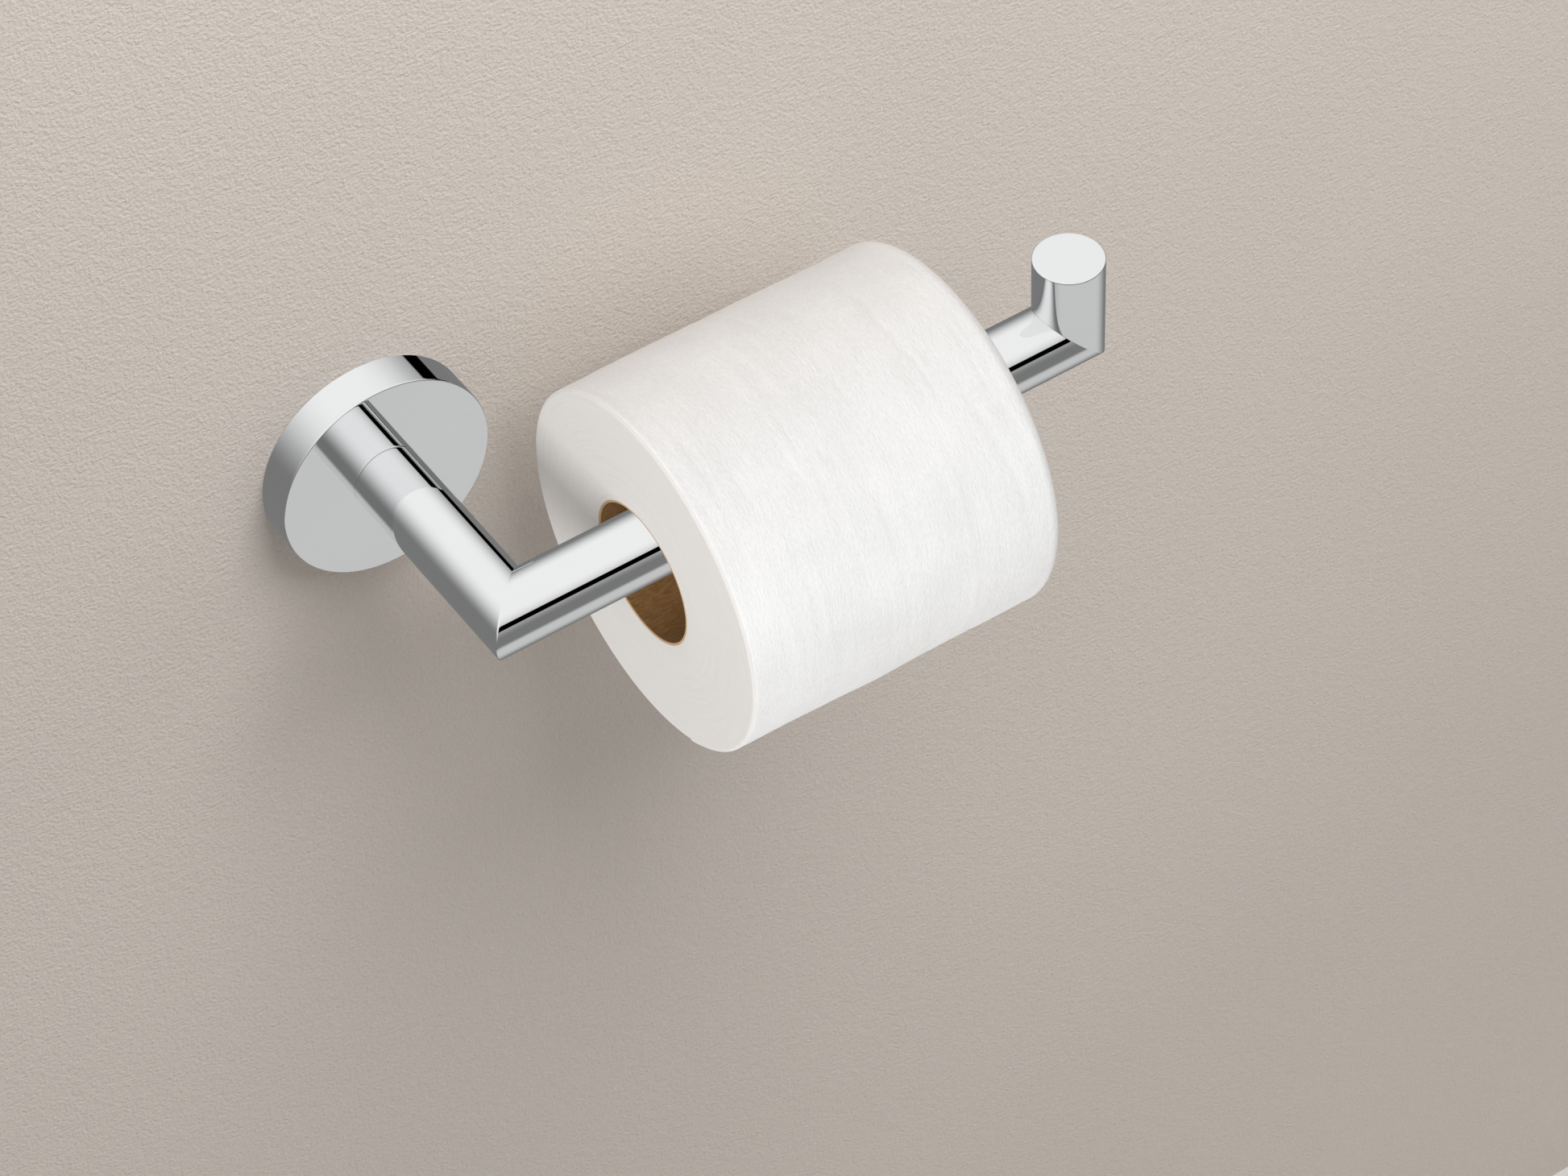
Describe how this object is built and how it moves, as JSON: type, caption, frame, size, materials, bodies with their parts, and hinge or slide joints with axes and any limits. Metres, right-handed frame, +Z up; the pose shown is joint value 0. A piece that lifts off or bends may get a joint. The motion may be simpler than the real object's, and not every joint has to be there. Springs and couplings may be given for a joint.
{
  "type": "toilet paper holder",
  "caption": "Wall-mounted toilet paper holder: round flange, square-cornered round bar with an upturned tip, and a roll of paper that turns on the arm.",
  "frame": {"origin": "centre of the flange on the wall plane, midway between the bracket's screw holes", "axes": "+X along the arm from the post to the tip, +Y into the wall, +Z up; the room is on the -Y side"},
  "size_m": [0.2205, 0.1567, 0.107],
  "materials": {
    "chrome_plate": "polished chrome plate on brass, mirror bright",
    "bracket_zinc": "die-cast zinc, tumbled, slightly grainy",
    "corner_zinc": "die-cast zinc, as cast",
    "screw_steel": "bright zinc-plated steel",
    "set_screw_steel": "stainless steel, dull",
    "plug_nylon": "grey nylon, satin",
    "plug_brass": "turned brass",
    "cardboard": "spiral-wound grey-brown cardboard, matte",
    "tissue": "soft white tissue paper, matte with fine creases"
  },
  "bodies": {
    "holder": {"flange_cover": "chrome_plate", "wall_bracket": "bracket_zinc", "wall_screws": "screw_steel", "wall_plugs": "plug_nylon", "set_screw": "set_screw_steel", "post_bolt": "screw_steel", "lock_washer": "screw_steel", "locating_pin": "screw_steel", "post_plug": "plug_brass", "post_tube": "chrome_plate", "front_corner": "corner_zinc", "arm_tube": "chrome_plate", "tip_corner": "corner_zinc", "tip_tube": "chrome_plate", "tip_cap": "chrome_plate"},
    "roll": {"cardboard_core": "cardboard", "paper_roll": "tissue"}
  },
  "joints": [
    {"name": "roll_spin", "type": "hinge", "parent": "holder", "child": "roll", "pos_m": [0.0897, -0.072, -0.0102], "axis": [1, 0, 0], "continuous": true}
  ]
}
